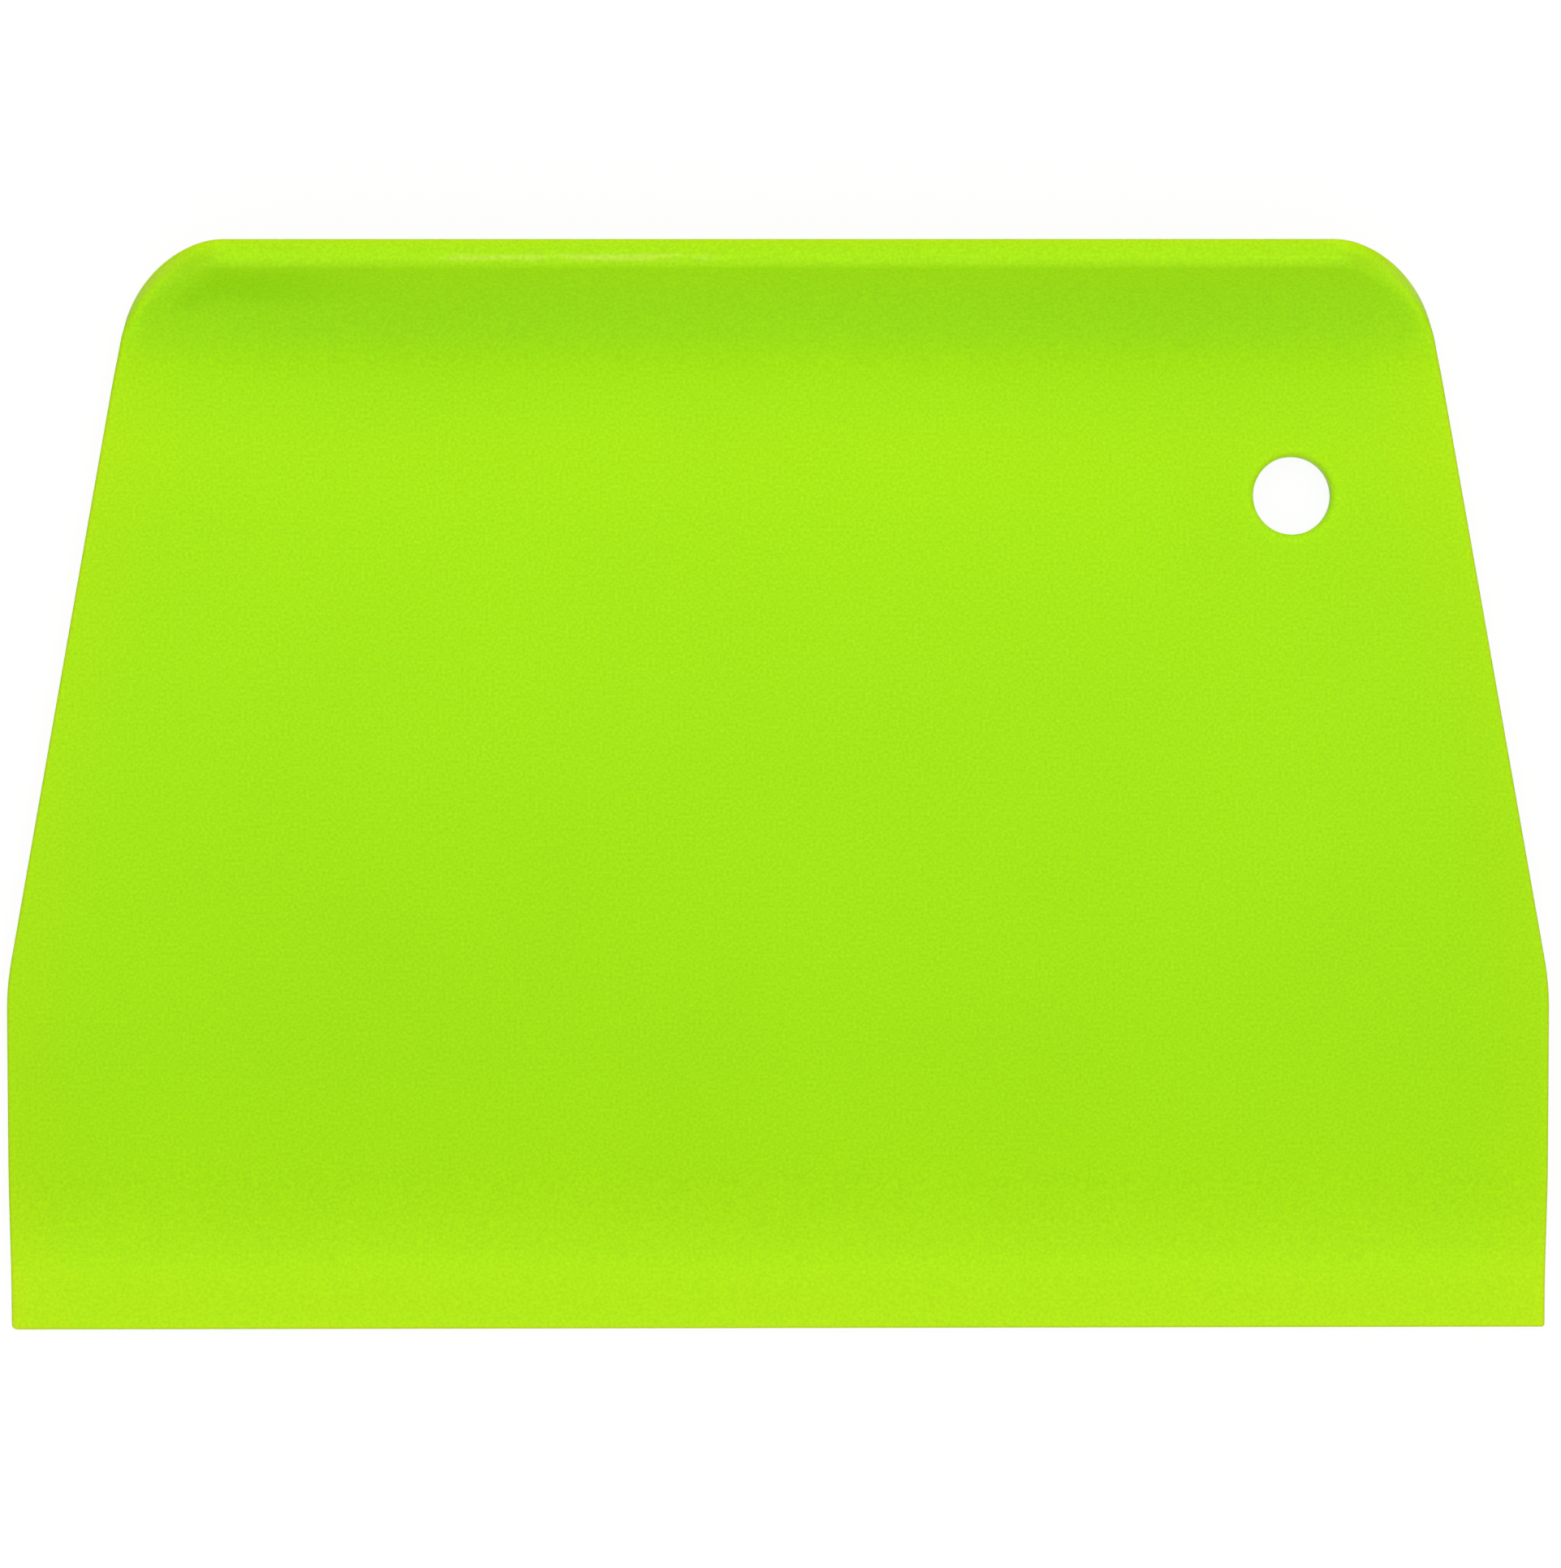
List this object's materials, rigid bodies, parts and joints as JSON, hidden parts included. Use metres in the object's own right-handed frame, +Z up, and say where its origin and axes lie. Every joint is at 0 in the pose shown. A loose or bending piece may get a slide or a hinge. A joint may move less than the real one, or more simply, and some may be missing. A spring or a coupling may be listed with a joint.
{
  "type": "bowl scraper",
  "caption": "Flat one-piece plastic bowl scraper with a straight thinned blade edge, sloping sides, a curled grip lip along the opposite edge and a hang hole near one corner.",
  "frame": {"origin": "under the middle of the scraper, on the plane of its flat back", "axes": "+X along the blade towards the hang hole, +Y from the blade edge to the curled lip, +Z up from the flat back, the way the lip curls"},
  "size_m": [0.15, 0.1054, 0.0109],
  "materials": {
    "lime_plastic": "satin"
  },
  "bodies": {
    "root": {"scraper": "lime_plastic"}
  },
  "joints": []
}
